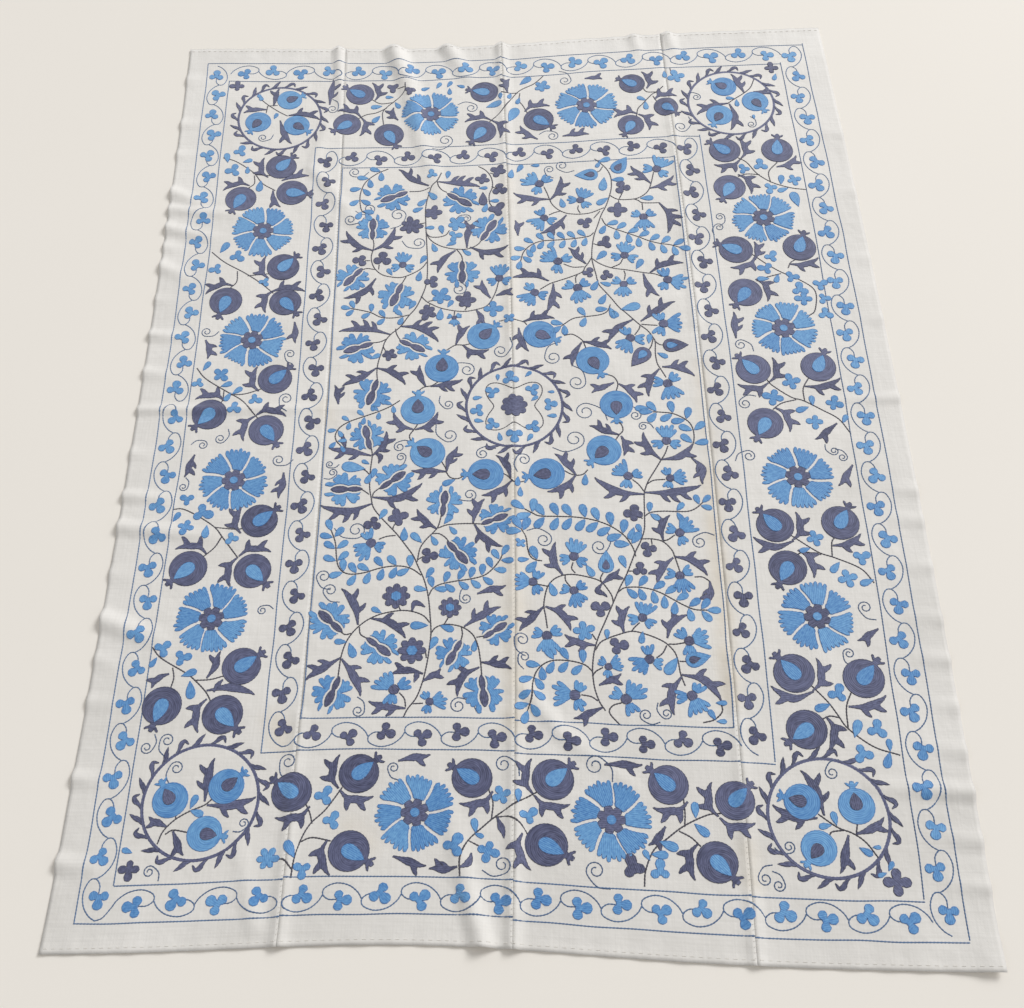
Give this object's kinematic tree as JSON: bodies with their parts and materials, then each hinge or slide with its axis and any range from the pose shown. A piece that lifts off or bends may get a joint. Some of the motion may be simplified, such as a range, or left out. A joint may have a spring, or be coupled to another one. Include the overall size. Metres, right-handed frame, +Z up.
{
  "type": "suzani embroidered textile",
  "caption": "Large rectangular embroidered cotton cloth sewn from joined strips, lying flat with soft ripples; a bed cover, table cloth or wall hanging.",
  "frame": {"origin": "on the floor under the middle of the cloth's bounding box", "axes": "+X across the width to the right, +Y along the length to the far end, +Z up out of the embroidered face"},
  "size_m": [1.6782, 2.1898, 0.0179],
  "materials": {
    "cotton_cloth": "dull off-white plain-weave cotton",
    "blue_thread": "mid blue cotton embroidery thread, couched in close rows",
    "indigo_thread": "dark indigo cotton embroidery thread, couched in close rows",
    "stem_thread": "blackish indigo cotton thread, worked as thin chain-stitched lines",
    "line_thread": "slate blue cotton thread, worked as thin chain-stitched lines",
    "seam_thread": "undyed cotton sewing thread"
  },
  "bodies": {
    "root": {"strip_1": "cotton_cloth", "strip_2": "cotton_cloth", "strip_3": "cotton_cloth", "strip_4": "cotton_cloth"}
  },
  "joints": []
}
